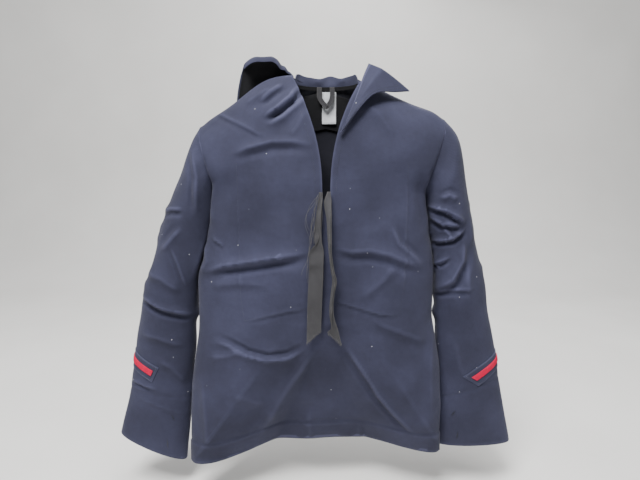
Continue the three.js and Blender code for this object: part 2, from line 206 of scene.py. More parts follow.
# --- folds
def from_line(x, z, points):
    """Signed distance from a polyline in the front view, and how far along it (0 to 1)."""
    best, along, signed = np.full(x.shape, 1e9), np.zeros(x.shape), np.zeros(x.shape)
    points = np.array(points, float)
    legs = np.linalg.norm(np.diff(points, axis=0), axis=1)
    start = 0.0
    for a, b, leg in zip(points[:-1], points[1:], legs):
        d = (b - a) / leg
        t = np.clip((x - a[0]) * d[0] + (z - a[1]) * d[1], 0, leg)
        px, pz = x - a[0] - d[0] * t, z - a[1] - d[1] * t
        dist = np.hypot(px, pz)
        near = dist < best
        best = np.where(near, dist, best)
        signed = np.where(near, dist * np.sign(d[0] * pz - d[1] * px + 1e-9), signed)
        along = np.where(near, (start + t) / legs.sum(), along)
        start += leg
    return signed, along


def fold(x, z, points, width, height, under=0.6, ends=0.3, crisp=0.3):
    """A fold along a line: a rise with a hollow beside it, fading out at both ends. The hollow
    is below a line that runs to the right when under is positive, and above it when negative."""
    d, s = from_line(x, z, points)
    fade = smooth(s / ends) * smooth((1 - s) / ends) if ends else 1
    edge = crisp * width
    rise = np.exp(-(np.sqrt(d * d + edge * edge) - edge) / width)
    hollow = gauss((-np.sign(under) * d - 1.7 * width) / (1.1 * width))
    return height * fade * (rise - abs(under) * hollow)


def ripple(x, z, seed, size, height):
    """Slow unevenness: a few long waves in seeded directions."""
    rng = np.random.default_rng(seed)
    total = 0
    for _ in range(9):
        angle, phase = rng.uniform(0, math.pi), rng.uniform(0, 2 * math.pi)
        length = size * rng.uniform(0.6, 1.8)
        total = total + np.sin((x * math.cos(angle) + z * math.sin(angle)) * 2 * math.pi / length + phase)
    return total * height / 3


FRONT_FOLDS = [  # points, width, height, then how deep the hollow is and where
    ([(-222, -44), (-179, -68), (-142, -86), (-98, -111)], 4, 2.6, 0.5),
    ([(-176, -138), (-140, -124), (-96, -112), (-60, -112), (-16, -120)], 7, 5.0, 0.8),
    ([(-50, -8), (-62, -34), (-86, -54), (-116, -70)], 5, 7.5, -1.1),
    ([(-34, -26), (-53, -50), (-76, -68), (-108, -86)], 7, 6.0, 0.5),
    ([(-74, -5), (-100, -26), (-122, -44)], 5, 5.0, -0.8),
    ([(-90, -12), (-118, -28), (-150, -46)], 7, 3.0, -0.5),
    ([(-36, -52), (-50, -84), (-66, -108)], 9, 3.0, 0.4),
    ([(-236, -352), (-187, -334), (-143, -326), (-87, -316), (-22, -306)], 7, 8.0, 1.0),
    ([(6, -296), (45, -306), (78, -304), (112, -312), (145, -326), (186, -342)], 7, 5.5, 0.9),
    ([(-216, -470), (-177, -482), (-147, -498), (-109, -507), (-69, -502), (-26, -480)], 5, 5.5, -1.0),
    ([(-220, -506), (-180, -500), (-150, -490)], 7, 3.5, -0.5),
    ([(-4, -466), (-42, -521), (-70, -564), (-116, -645), (-134, -690)], 11, 7, 0.3),
    ([(26, -466), (69, -532), (100, -583), (136, -627), (184, -676)], 6, 6.5, 0.7),
    ([(-212, -284), (-198, -292), (-184, -300)], 3, 3.0, 0.8),
    ([(112, -252), (131, -294), (158, -317), (180, -340)], 5, 3.5, -0.6),
    ([(54, -396), (99, -360), (132, -320)], 9, 3.0, 0.4),
    ([(76, -430), (131, -452), (198, -484)], 9, 3.5, 0.5),
    ([(-222, -372), (-160, -364), (-90, -366)], 8, 2.6, 0.5),
    ([(-196, -176), (-206, -220), (-208, -268)], 9, 5.0, 0.4),
    ([(186, -150), (180, -214), (196, -286)], 7, 4.0, 0.4),
    ([(-226, -292), (-220, -330), (-236, -356)], 7, 4.0, 0.6),
    ([(-232, -540), (-226, -610), (-222, -694)], 9, 3.5, 0.4),
    ([(206, -430), (196, -520), (200, -640)], 9, 3.5, 0.4),
    ([(-190, -560), (-120, -600), (-100, -660)], 12, 3.0, 0.4),
    ([(-30, -618), (-34, -660), (-26, -704)], 9, 3.0, 0.3),
    ([(60, -618), (70, -660), (64, -704)], 9, 3.0, 0.3),
    ([(60, -40), (96, -66), (124, -108)], 10, 2.2, 0.4),
    # The turned edge of the facing shows through.
    ([(-151, -436), (-108, -424), (-68, -414), (-26, -409)], 2.6, 1.9, 0.9),
    ([(10, -396), (46, -405), (97, -421), (138, -426)], 2.6, 1.9, 0.9),
    ([(-160, -150), (-157, -238), (-155, -392), (-150, -436)], 2.4, 0.9, 0.6),
    ([(146, -150), (143, -311), (141, -364), (134, -425)], 2.4, 0.9, -0.6),
]
BACK_FOLDS = [
    ([(-190, -262), (-60, -300), (40, -306)], 12, 6, 0.7),
    ([(-40, -352), (90, -330), (192, -290)], 12, 6, 0.7),
    ([(-200, -390), (-90, -410), (-20, -400)], 10, 4, 0.6),
    ([(-90, -400), (-100, -540), (-84, -700)], 15, 8, 0.5),
    ([(80, -380), (96, -540), (70, -700)], 15, 8, -0.5),
    ([(-10, -430), (-6, -560), (-20, -704)], 17, 6, 0.4),
    ([(-186, -430), (-190, -560), (-176, -700)], 12, 5, 0.4),
    ([(180, -430), (178, -560), (172, -700)], 12, 5, -0.4),
    ([(-170, -110), (-150, -170), (-176, -240)], 12, 4, 0.4),
    ([(176, -110), (160, -170), (182, -240)], 12, 4, -0.4),
]


def normals(grid, toward, wrap=False):
    """Unit normals, on the side of the sheet that toward points to."""
    across = np.roll(grid, -1, 1) - np.roll(grid, 1, 1) if wrap else np.gradient(grid, axis=1)
    n = np.cross(across, np.gradient(grid, axis=0))
    n = n / np.maximum(1e-9, np.linalg.norm(n, axis=-1, keepdims=True))
    return n * np.sign((n * toward).sum(-1).mean() + 1e-9)


def curve(points, share):
    """A smooth curve through the points, at shares from 0 to 1 of the way along it."""
    points = np.array(points, float)
    points = np.vstack([2 * points[0] - points[1], points, 2 * points[-1] - points[-2]])
    at = np.clip(share, 0, 1) * (len(points) - 3)
    k = np.minimum(at.astype(int), len(points) - 4)
    f = (at - k)[..., None]
    a, b, c, d = (points[k + i] for i in range(4))
    return 0.5 * (2 * b + (c - a) * f + (2 * a - 5 * b + 4 * c - d) * f ** 2
                  + (3 * b - a - 3 * c + d) * f ** 3)


def spline(points, count):
    return curve(points, np.linspace(0, 1, count + 1))


# --- making meshes
def new_object(name, vertices, faces, uv=None):
    mesh = bpy.data.meshes.new(name)
    mesh.from_pydata([tuple(v) for v in np.asarray(vertices) * MM], [], faces)
    if uv is not None:
        layer = mesh.uv_layers.new(name="UVMap")
        uv = np.asarray(uv) * MM
        for loop in mesh.loops:
            layer.data[loop.index].uv = uv[loop.vertex_index]
    mesh.shade_smooth()
    mesh.validate()
    obj = bpy.data.objects.new(name, mesh)
    bpy.context.scene.collection.objects.link(obj)
    return obj


def quads(rows, columns, wrap=False, flip=False, base=0):
    """Faces of a grid of points that are numbered row by row from base."""
    faces = []
    for j in range(rows - 1):
        a, b = base + j * columns, base + (j + 1) * columns
        for i in range(columns if wrap else columns - 1):
            k = (i + 1) % columns
            quad = (a + i, a + k, b + k, b + i)
            faces.append(quad[::-1] if flip else quad)
    return faces


def tube_faces(rows, sides, base):
    """Faces of a tube with closed ends."""
    last = base + (rows - 1) * sides
    return quads(rows, sides, wrap=True, base=base) + [
        tuple(base + i for i in reversed(range(sides))), tuple(last + i for i in range(sides))]


def grid_parts(grid, wrap=False, flip=False):
    rows, columns = grid.shape[:2]
    step = np.linalg.norm(np.diff(grid, axis=1), axis=-1).mean()
    down = np.r_[0, np.cumsum(np.linalg.norm(np.diff(grid, axis=0), axis=-1).mean(1))]
    uv = np.stack(np.meshgrid(np.arange(columns) * step, -down), -1).reshape(-1, 2)
    return grid.reshape(-1, 3), quads(rows, columns, wrap, flip), uv


def applied(obj):
    """Applies the modifiers, so that the mesh is final."""
    depsgraph = bpy.context.evaluated_depsgraph_get()
    mesh = bpy.data.meshes.new_from_object(obj.evaluated_get(depsgraph))
    mesh.name = obj.name
    obj.modifiers.clear()
    obj.data = mesh
    return obj


def thickened(obj, thickness, weld=False):
    if weld:
        obj.modifiers.new("weld", "WELD").merge_threshold = 0.0002
    solid = obj.modifiers.new("solidify", "SOLIDIFY")
    solid.thickness = thickness * MM
    solid.offset = 0
    solid.use_even_offset = False
    bevel = obj.modifiers.new("bevel", "BEVEL")
    bevel.width = thickness * 0.38 * MM
    bevel.segments = 2
    bevel.limit_method = "ANGLE"
    bevel.angle_limit = math.radians(60)
    applied(obj).data.shade_smooth()
    return obj


def cloth(name, grid, thickness=CLOTH, wrap=False, flip=False):
    return thickened(new_object(name, *grid_parts(grid, wrap, flip)), thickness)


def welded(name, grids, thickness=CLOTH, flips=(False, False)):
    """Several grids that share edges, as one sheet."""
    vertices, faces, uv = [], [], []
    base = 0
    for grid, flip in zip(grids, flips):
        v, f, t = grid_parts(grid, flip=flip)
        vertices.append(v)
        uv.append(t * ([-1, 1] if flip else [1, 1]))
        faces += [tuple(i + base for i in q) for q in f]
        base += len(v)
    return thickened(new_object(name, np.vstack(vertices), faces, np.vstack(uv)), thickness, weld=True)


# --- materials
def material(name, build):
    mat = bpy.data.materials.new(name)
    mat.use_nodes = True
    build(mat.node_tree, mat.node_tree.nodes["Principled BSDF"])
    return mat


BLACK, WHITE = (0, 0, 0), (1, 1, 1)


def node(tree, kind, **values):
    """A shader node; values are its settings, or its inputs with _ for a space."""
    n = tree.nodes.new(kind)
    for key, value in values.items():
        if key in n.bl_rna.properties:
            setattr(n, key, value)
        else:
            n.inputs[key.replace("_", " ")].default_value = value
    return n


def ramp(tree, source, stops):
    r = tree.nodes.new("ShaderNodeValToRGB")
    while len(r.color_ramp.elements) < len(stops):
        r.color_ramp.elements.new(0.5)
    for element, (place, colour) in zip(r.color_ramp.elements, stops):
        element.position = place
        element.color = (*colour, 1)
    tree.links.new(source, r.inputs["Fac"])
    return r.outputs["Color"]


def mix(tree, factor, a, b, kind="MIX"):
    m = tree.nodes.new("ShaderNodeMix")
    m.data_type = "RGBA"
    m.blend_type = kind
    for socket, value in ((m.inputs["Factor"], factor), (m.inputs["A"], a), (m.inputs["B"], b)):
        if isinstance(value, bpy.types.NodeSocket):
            tree.links.new(value, socket)
        elif isinstance(value, tuple):
            socket.default_value = (*value, 1)
        else:
            socket.default_value = value
    return m.outputs["Result"]


def woven(colour, light, *, weave=0.9, angle=45, roughness=0.9, sheen=0.12, lint=0.0, bump=0.25,
          wear=0.35, worn=None):
    """Twill cloth: diagonal ribs crossed by fine threads, uneven dye, worn high spots and lint.
    weave is the ribs' spacing in mm, and lint the share of small pale specks."""
    def build(tree, shader):
        link = tree.links.new
        place = node(tree, "ShaderNodeTexCoord").outputs["Object"]

        def noise(scale, detail, rough):
            n = node(tree, "ShaderNodeTexNoise", Scale=scale, Detail=detail, Roughness=rough)
            link(place, n.inputs["Vector"])
            return n.outputs["Fac"]

        def wave(direction, fineness, distortion, **detail):
            n = node(tree, "ShaderNodeTexWave", wave_type="BANDS", bands_direction=direction,
                     Scale=fineness / (weave * MM * 6.2832), Distortion=distortion, Detail=1.0, **detail)
            link(turned.outputs["Vector"], n.inputs["Vector"])
            return n.outputs["Fac"]

        def between(source, low, high, end=WHITE):
            return ramp(tree, source, [(low, BLACK), (high, end)])

        def times(a, b):
            return mix(tree, 1.0, a, b, "MULTIPLY")

        turned = node(tree, "ShaderNodeMapping", Rotation=(0, 0, math.radians(angle)))
        link(node(tree, "ShaderNodeUVMap", uv_map="UVMap").outputs["UV"], turned.inputs["Vector"])
        ribs, threads = wave("X", 1.0, 0.6, Detail_Scale=1.5), wave("Y", 1.7, 1.0)
        broad, fuzz, mottle = noise(9.0, 3.0, 0.55), noise(900.0, 2.0, 0.7), noise(120.0, 3.0, 0.65)
        base = mix(tree, between(broad, 0.36, 0.66), colour, light)
        speckled = mix(tree, between(mottle, 0.35, 0.75), times(base, (0.92, 0.92, 0.93)),
                       times(base, (1.08, 1.08, 1.07)))
        out = mix(tree, between(ribs, 0.2, 0.8), times(speckled, (0.78, 0.78, 0.8)), speckled)
        # Edges and the tops of folds are rubbed a little paler.
        rubbed = between(node(tree, "ShaderNodeNewGeometry").outputs["Pointiness"], 0.505, 0.56, (wear,) * 3)
        out = mix(tree, rubbed, out, worn or tuple(min(1, 2.6 * c + 0.01) for c in light))
        if lint:
            cells = node(tree, "ShaderNodeTexVoronoi", Scale=95.0)
            stretch = node(tree, "ShaderNodeMapping", Scale=(1, 1, 0.6))
            link(place, stretch.inputs["Vector"])
            link(stretch.outputs["Vector"], cells.inputs["Vector"])
            near = ramp(tree, cells.outputs["Distance"], [(0.04, WHITE), (0.075, BLACK)])
            chosen = node(tree, "ShaderNodeSeparateColor")
            link(cells.outputs["Color"], chosen.inputs["Color"])
            some = between(chosen.outputs["Red"], 1 - lint - 0.004, 1 - lint)
            out = mix(tree, times(near, some), out, (0.55, 0.55, 0.58))
        link(out, shader.inputs["Base Color"])
        shader.inputs["Sheen Weight"].default_value = sheen
        shader.inputs["Sheen Roughness"].default_value = 0.45
        shader.inputs["Sheen Tint"].default_value = (*[min(1, 0.5 + 2 * c) for c in light], 1)
        shader.inputs["Specular IOR Level"].default_value = 0.25
        rough = node(tree, "ShaderNodeMapRange", To_Min=roughness - 0.07, To_Max=min(1, roughness + 0.05))
        link(mottle, rough.inputs["Value"])
        link(rough.outputs["Result"], shader.inputs["Roughness"])
        # Relief: ribs and threads with fuzz, on slow unevenness.
        fine = node(tree, "ShaderNodeMath", operation="MULTIPLY_ADD")
        link(fuzz, fine.inputs[0])
        fine.inputs[1].default_value = 0.9
        link(threads, fine.inputs[2])
        height = node(tree, "ShaderNodeMath", operation="ADD")
        link(ribs, height.inputs[0])
        link(fine.outputs[0], height.inputs[1])
        slow = node(tree, "ShaderNodeBump", Strength=0.35, Distance=0.004)
        link(noise(38.0, 3.0, 0.5), slow.inputs["Height"])
        relief = node(tree, "ShaderNodeBump", Strength=bump, Distance=0.0004)
        link(height.outputs[0], relief.inputs["Height"])
        link(slow.outputs["Normal"], relief.inputs["Normal"])
        link(relief.outputs["Normal"], shader.inputs["Normal"])
    return build


NAVY = (0.0285, 0.0298, 0.0545)
NAVY_LIGHT = (0.0425, 0.0445, 0.0815)
navy = material("navy_wool", woven(NAVY, NAVY_LIGHT, lint=0.075, sheen=0.10))
# Painted shade: a much darker navy for the cloth's inner faces, where shade falls inside the coat.
navy_shadow = material("navy_wool_painted_inside_shade", woven((0.007, 0.0075, 0.012), (0.012, 0.0125, 0.02)))
black = material("black_lining", woven((0.004, 0.004, 0.005), (0.008, 0.008, 0.010), weave=0.6,
                                       sheen=0.03, wear=0.1))
twill_tape = material("black_tape", woven((0.046, 0.045, 0.048), (0.072, 0.071, 0.076), weave=1.1,
                                          sheen=0.1, bump=0.6, worn=(0.16, 0.155, 0.15)))
label_white = material("white_label", woven((0.56, 0.58, 0.60), (0.74, 0.76, 0.78), weave=0.35,
                                            angle=0, roughness=0.6, sheen=0.05, wear=0.0, bump=0.15))
red = material("red_felt", woven((0.60, 0.0, 0.046), (0.70, 0.001, 0.058), weave=0.7, sheen=0.0,
                                 bump=0.45, wear=0.12, worn=(0.8, 0.12, 0.18)))
thread_dark = material("navy_thread", woven((0.022, 0.024, 0.036), (0.05, 0.052, 0.07), weave=0.3,
                                            angle=30, roughness=0.7, sheen=0.1))
thread_pale = material("grey_thread", woven((0.075, 0.08, 0.105), (0.13, 0.14, 0.17), weave=0.3,
                                            angle=30, roughness=0.7, sheen=0.1))


def moulded(tree, shader):
    link = tree.links.new
    place = node(tree, "ShaderNodeTexCoord")
    swirl = node(tree, "ShaderNodeTexNoise", Scale=160.0, Detail=4.0, Distortion=1.5)
    link(place.outputs["Object"], swirl.inputs["Vector"])
    link(ramp(tree, swirl.outputs["Fac"], [(0.3, (0.006, 0.006, 0.008)), (0.75, (0.022, 0.021, 0.024))]),
         shader.inputs["Base Color"])
    link(ramp(tree, swirl.outputs["Fac"], [(0.3, (0.26,) * 3), (0.8, (0.42,) * 3)]),
         shader.inputs["Roughness"])
    dents = node(tree, "ShaderNodeBump", Strength=0.15, Distance=0.0003)
    link(swirl.outputs["Fac"], dents.inputs["Height"])
    link(dents.outputs["Normal"], shader.inputs["Normal"])


horn = material("dark_button", moulded)


def dress(obj, mat, body, slot, *nodes):
    """Gives a piece its material and body, and hides the CAD nodes it stands for. slot is not used."""
    obj.data.materials.clear()
    obj.data.materials.append(mat)
    if nodes:
        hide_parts(*nodes)
    if body:
        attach(obj, body)
    return obj


# --- body panels
COLUMNS = 76  # of a half panel
ROWS = 210
ROW = np.linspace(0, YOKE_ROWS + BODY_ROWS, ROWS + 1)
SIDE = {"right": -1, "left": 1}
FACE = {"front": -1, "back": 1}
FOLDS = {"front": FRONT_FOLDS, "back": BACK_FOLDS}
RIPPLE_SEEDS = {"front": (3, 11), "back": (5, 12)}


def relaxed(grid, passes=60):
    """Evens out the panel's depth inside its edges, most of all below the armhole."""
    depth = grid[..., 1].copy()
    for _ in range(passes):
        depth[1:-1, 1:-1] = (depth[:-2, 1:-1] + depth[2:, 1:-1] + depth[1:-1, :-2] + depth[1:-1, 2:]) / 4
    away = np.abs(ROW[:, None] - YOKE_ROWS)
    columns = np.linspace(0, 1, grid.shape[1])[None, :]
    inner = smooth((columns - 0.15) / 0.3)
    grid[..., 1] = lerp(grid[..., 1], depth, smooth(1 - away / 4.5) * inner)
    # The rows change direction there, so their paths are rounded too.
    soft = grid.copy()
    for _ in range(passes):
        soft[1:-1] = (soft[:-2] + 2 * soft[1:-1] + soft[2:]) / 4
    share = smooth(1 - away / 3) * inner * smooth((1 - columns) / 0.05)
    return lerp(grid, soft, share[..., None])


def raised(grid, amount, face):
    """The sheet moved outwards on its face by amount, in mm."""
    return grid + normals(grid, (0, face, 0)) * amount


def half_panel(name, side):
    face, u = FACE[name], np.linspace(0, 1, COLUMNS + 1)[None, :]
    row = ROW[:, None]
    grid = relaxed(panel_points(face, side, u, row))
    x, z = grid[..., 0], grid[..., 2]
    broad, fine = RIPPLE_SEEDS[name]
    amount = sum(fold(x, z, *f) for f in FOLDS[name])
    amount = amount + ripple(x, z, broad, 150, 1.6) + ripple(x, z, fine, 60, 0.5)
    # Quiet along the shoulder seam, the armhole and the side seam.
    calm = smooth(row / 1.6) * smooth((1 - u) / 0.09)
    above = z - hem_z(x) - HEM_TURN
    hem = 1.3 * smooth((1.5 - above) / 3) - 0.9 * gauss((above - 3.5) / 2.5)
    return raised(grid, (amount * calm + hem * smooth((row - 15) / 2))[..., None], face)


halves = {name: [half_panel(name, side) for side in SIDE.values()] for name in FACE}
# Where the halves join in the middle, both take their average.
for name, joined in (("front", ROW > YOKE_ROWS + 0.8), ("back", ROW >= 0)):
    first, second = halves[name]
    first[joined, 0] = second[joined, 0] = (first[joined, 0] + second[joined, 0]) / 2

panel = {name: welded(f"{name}_panel_cloth", halves[name], flips=(face > 0, face < 0))
         for name, face in FACE.items()}
for name, face in FACE.items():
    dress(panel[name], navy, "coat", "navy_wool", f"{name}_panel")
    # Painted shade: the faces turned inside the coat get a much darker navy, standing in for the shade in
    # there.
    panel[name].data.materials.append(navy_shadow)
    for polygon in panel[name].data.polygons:
        polygon.material_index = int(polygon.normal.y * face < -0.2)


# --- hem, facing and yoke lining
def turned_hem(grid, face):
    part = grid[grid[..., 2].mean(1) < 1 + HEM_TURN - BODY][:, :-1]
    return np.vstack([raised(part, -FACING, face), part[-1:] - (0, 0, 1.9)])


def layer(name, piece, thickness, grids, mat, slot, node_name):
    """A layer inside the front or the back, from a grid for each half."""
    flips = (FACE[name] < 0, FACE[name] > 0)
    return dress(welded(piece, grids, thickness, flips), mat, "coat", slot, node_name)


def inside(name, rows, columns, depth):
    return [raised(grid[rows][:, :int(COLUMNS * columns)], -depth, FACE[name]) for grid in halves[name]]


for name, face in FACE.items():
    grids = [turned_hem(grid, face) for grid in halves[name]]
    layer(name, f"{name}_hem_turned", 1.4, grids, navy, "navy_wool", f"{name}_hem_facing")
grids = inside("front", (ROW > 0.9) & (ROW < YOKE_ROWS + 5), 0.55, FACING + 0.6)
layer("front", "front_facing_cloth", 1.2, grids, black, "black_lining", "front_facing")
grids = inside("back", (ROW > 0.9) & (ROW < 4.6), 0.72, FACING + 1.2)
yoke_lining = layer("back", "yoke_lining_cloth", 1.2, grids, black, "black_lining", "yoke_lining")

# --- sleeves
EDGES = {
    "right": ([(248, -112), (264, -151), (285, -197), (306, -254), (330, -320), (350, -385),
               (366, -455), (379, -525), (392, -600), (414, -684)],
              [(212, -222), (219, -244), (226, -275), (233, -312), (242, -358), (251, -410),
               (258, -470), (264, -540), (271, -620), (284, -742)]),
    "left": ([(244, -108), (254, -141), (263, -187), (273, -240), (286, -295), (302, -352),
              (318, -425), (332, -500), (348, -580), (374, -702)],
             [(188, -222), (194, -244), (200, -275), (206, -312), (211, -358), (215, -410),
              (218, -470), (220, -540), (222, -620), (224, -706)]),
}


def edge_curve(name, which, t):
    """Places on a sleeve's outer (which 0) or inner (1) edge in the front view."""
    side = SIDE[name]
    x, z = arm_edge(np.float64(which))
    points = [(side * x + middle_x(z), z)] + [(side * px, pz) for px, pz in EDGES[name][which]]
    return curve(points, t)


def sleeve_points(name, t, angle):
    """t runs from the armhole to the cuff; angle 0 is the outer edge, then the front."""
    t, angle = np.broadcast_arrays(t, angle)
    outer, inner = edge_curve(name, 0, t), edge_curve(name, 1, t)
    centre, half = (outer + inner) / 2, (outer - inner) / 2
    share = (1 - np.cos(angle)) / 2
    bow = arm_edge(share)[0] - lerp(SHOULDER, UNDERARM, share)
    bow = SIDE[name] * bow * (1 - smooth(t * 6))
    low = lerp(ARMHOLE_POINT, SLEEVE_ROUND, smooth(t * 4))
    depth = lerp(ARMHOLE_HALF, 50, smooth(t * 5)) - 26 * smooth((t - 0.25) / 0.75)
    x = centre[..., 0] + half[..., 0] * np.cos(angle) + bow
    y = 13 * smooth(t * 2.5) - depth * np.sign(np.sin(angle)) * armhole(share, low)
    z = centre[..., 1] + half[..., 1] * np.cos(angle)
    return lifted(np.stack([x, y, z], -1))


SLEEVE_FOLDS = {
    "right": [
        ([(-241, -120), (-233, -175), (-238, -250)], 5, 4.5, 0.8),
        ([(-204, -190), (-220, -247), (-239, -308), (-262, -384)], 8, 9, -0.9),
        ([(-306, -240), (-284, -232), (-258, -232)], 4, 3.5, 0.9),
        ([(-262, -262), (-296, -301), (-312, -312)], 6, 4, 0.6),
        ([(-288, -296), (-275, -335), (-263, -386)], 3, 2.4, 0.8),
        ([(-358, -396), (-308, -420), (-250, -438)], 5, 6, 1.0),
        ([(-350, -352), (-310, -362), (-268, -392)], 9, 4, 0.5),
        ([(-388, -570), (-361, -576), (-326, -588)], 3.5, 3.5, 1.0),
        ([(-380, -600), (-338, -616), (-266, -648)], 4.5, 3.5, 0.7),
        ([(-366, -470), (-322, -478), (-268, -500)], 9, 3.5, 0.5),
        ([(-330, -520), (-300, -540), (-272, -580)], 9, 3.0, 0.5)],
    "left": [
        ([(186, -226), (219, -234), (236, -244), (258, -262)], 4, 8, 1.0),
        ([(192, -245), (215, -259), (256, -262)], 4, 6, 1.0),
        ([(198, -294), (233, -285), (258, -266)], 4, 7, 1.0),
        ([(211, -258), (222, -272), (234, -286)], 3, 4, -0.6),
        ([(200, -304), (211, -336), (232, -318)], 3.5, 4.5, 0.9),
        ([(204, -396), (238, -364), (253, -328), (255, -278)], 7, 8, 0.9),
        ([(200, -398), (228, -385), (280, -382)], 4, 3.5, 0.9),
        ([(260, -226), (268, -282), (264, -356), (272, -420)], 8, 5, 0.5),
        ([(246, -470), (262, -540), (286, -580)], 12, 3, 0.4),
        ([(206, -214), (222, -206), (240, -214)], 5, 4, -0.6)],
}
RING = 112
SLEEVE_ROWS = 210
SLEEVE_CUFF = 0.886


def sleeve_grid(name):
    t = np.linspace(0, 1, SLEEVE_ROWS + 1)[:, None]
    angle = np.linspace(0, 2 * math.pi, RING, endpoint=False)[None, :]
    grid = sleeve_points(name, t, angle)
    x, z = grid[..., 0], grid[..., 2]
    facing_front = smooth(np.sin(angle) * 1.6 + 0.2)
    amount = facing_front * sum(fold(x, z, *f) for f in SLEEVE_FOLDS[name])
    # The back of the sleeve has its own slack at the elbow.
    for k, place in enumerate((0.34, 0.41, 0.47, 0.62)):
        slant = place + 0.03 * np.cos(angle + k)
        amount = amount + (1 - facing_front) * 5.5 * gauss((t - slant) / 0.018)
    seed = 20 + len(name)
    amount = amount + lerp(ripple(x, z, seed + 9, 120, 2.0), ripple(x, z, seed, 120, 2.0), facing_front)
    amount = amount * smooth(t / 0.07) * lerp(1, 0.3, smooth((t - 0.86) / 0.05))
    amount = amount - 0.8 * gauss((t - SLEEVE_CUFF) / 0.0035)
    n = normals(grid, grid - grid.mean(1, keepdims=True), wrap=True)
    return grid + n * amount[..., None], n


sleeve_grids = {name: sleeve_grid(name) for name in SIDE}
for name, side in SIDE.items():
    grid, out = sleeve_grids[name]
    piece = cloth(f"{name}_sleeve_cloth", grid, wrap=True, flip=side < 0)
    dress(piece, navy, None, "navy_wool", f"{name}_sleeve")
    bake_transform(piece)
    rows = np.linspace(0, 1, SLEEVE_ROWS + 1) > SLEEVE_CUFF + 0.002
    lip = grid[-1:] + (grid[-1:] - grid[-2:-1]) * 0.28
    turned = np.vstack([grid[rows] - out[rows] * FACING, lip])
    piece = cloth(f"{name}_cuff_turned", turned, 1.4, wrap=True, flip=side < 0)
    dress(piece, navy, f"{name}_sleeve", "navy_wool", f"{name}_cuff_facing")


def surface_of(obj):
    mesh = obj.data
    co = np.empty(len(mesh.vertices) * 3)
    mesh.vertices.foreach_get("co", co)
    return BVHTree.FromPolygons(co.reshape(-1, 3).tolist(), [p.vertices[:] for p in mesh.polygons])


# --- stitches
def stitch_row(path, facing, length, gap, radius):
    """Stitches along a path of points (mm) with their normals: vertices and faces."""
    path, facing = np.asarray(path, float), np.asarray(facing, float)
    legs = np.r_[0, np.cumsum(np.linalg.norm(np.diff(path, axis=0), axis=1))]
    vertices, faces = [], []
    ring = [(math.cos(a), math.sin(a)) for a in np.linspace(0, 2 * math.pi, 6, endpoint=False)]
    # Each stitch sinks in at both ends: place along it, size, rise.
    profile = [(0, 0.35, -0.45), (0.14, 0.9, 0.1), (0.5, 1.0, 0.35), (0.86, 0.9, 0.1), (1, 0.35, -0.45)]

    def at(values, s):
        return np.array([np.interp(s, legs, values[:, k]) for k in range(3)])

    for start in np.arange(0, legs[-1] - length, length + gap):
        first, last = at(path, start), at(path, start + length)
        n = at(facing, start + length / 2)
        n /= max(1e-9, np.linalg.norm(n))
        along = (last - first) / max(1e-9, np.linalg.norm(last - first))
        across = np.cross(along, n)
        faces += tube_faces(len(profile), len(ring), len(vertices))
        for place, size, rise in profile:
            centre = lerp(first, last, place) + n * (rise * radius + 0.05)
            vertices += [centre + radius * size * (c * across + s * n) for c, s in ring]
    return vertices, faces


def stitching(name, rows, body="coat", mat=thread_dark, slot="navy_wool", length=2.7, gap=1.2, radius=0.24):
    vertices, faces = [], []
    for path, facing in rows:
        v, f = stitch_row(path, facing, length, gap, radius)
        faces += [tuple(i + len(vertices) for i in q) for q in f]
        vertices += v
    uv = np.asarray(vertices)[:, [0, 2]]
    dress(new_object(name, vertices, faces, uv), mat, body, slot)


def first_hit(surface, x, z, start=-400, way=1):
    """Where a line along Y from start, at x and z (mm), meets a surface, and its normal there."""
    hit, n, _, _ = surface.ray_cast(Vector((x, start, z)) * MM, Vector((0, way, 0)))
    return (None, None) if hit is None else (np.array(hit) / MM, np.array(n))


def on_panel(name, points):
    """Drops front-view points (mm) on the front or back panel, from outside."""
    face, found = FACE[name], []
    for x, z in points:
        hit, n = first_hit(surface[name], x, z, face * 400, -face)
        if hit is not None:
            found.append((hit, n * (1 if n[1] * face > 0 else -1)))
    return [hit for hit, _ in found], [n for _, n in found]


def line(points, count=60):
    points = np.array(points, float)
    legs = np.r_[0, np.cumsum(np.linalg.norm(np.diff(points, axis=0), axis=1))]
    s = np.linspace(0, legs[-1], count)
    return np.stack([np.interp(s, legs, points[:, 0]), np.interp(s, legs, points[:, 1])], -1)


surface = {name: surface_of(panel[name]) for name in FACE}
hem_line = [(x, hem_z(x) + HEM_TURN - 1) for x in np.linspace(-238, 204, 150)]
stitching("hem_stitches", [on_panel(name, hem_line) for name in FACE])
outline = [line([(-159, -150), (-157, -238), (-155, -392), (-149, -434)]),
           line([(-149, -434), (-108, -424), (-68, -414), (-30, -409)]),
           line([(146, -150), (143, -311), (141, -364), (134, -425)]),
           line([(12, -397), (46, -405), (97, -421), (134, -425)])]
stitching("facing_stitches", [on_panel("front", l) for l in outline])


def slit_edge(grid):
    """A row of stitches beside the slit, on one half of the front."""
    column, n = grid[:, 3], normals(grid, (0, -1, 0))[:, 3]
    rows = (column[:, 2] > -SLIT + 2) & (column[:, 2] < -14)
    return column[rows] + n[rows] * (CLOTH / 2), n[rows]


stitching("slit_stitches", [slit_edge(grid) for grid in halves["front"]])

for name, (grid, out) in sleeve_grids.items():
    near = round(SLEEVE_CUFF * SLEEVE_ROWS)
    loop = [np.vstack([a[near], a[near][:1]]) for a in (grid + out * (CLOTH / 2), out)]
    stitching(f"{name}_cuff_stitches", [loop], f"{name}_sleeve")


# --- stripes on the sleeves
# Place along the sleeve, slant, cut of the ends, and share of the usual length.
STRIPE = {"right": (0.798, 0.020, 0.006, 0.94), "left": (0.836, 0.011, 0.016, 1.0)}


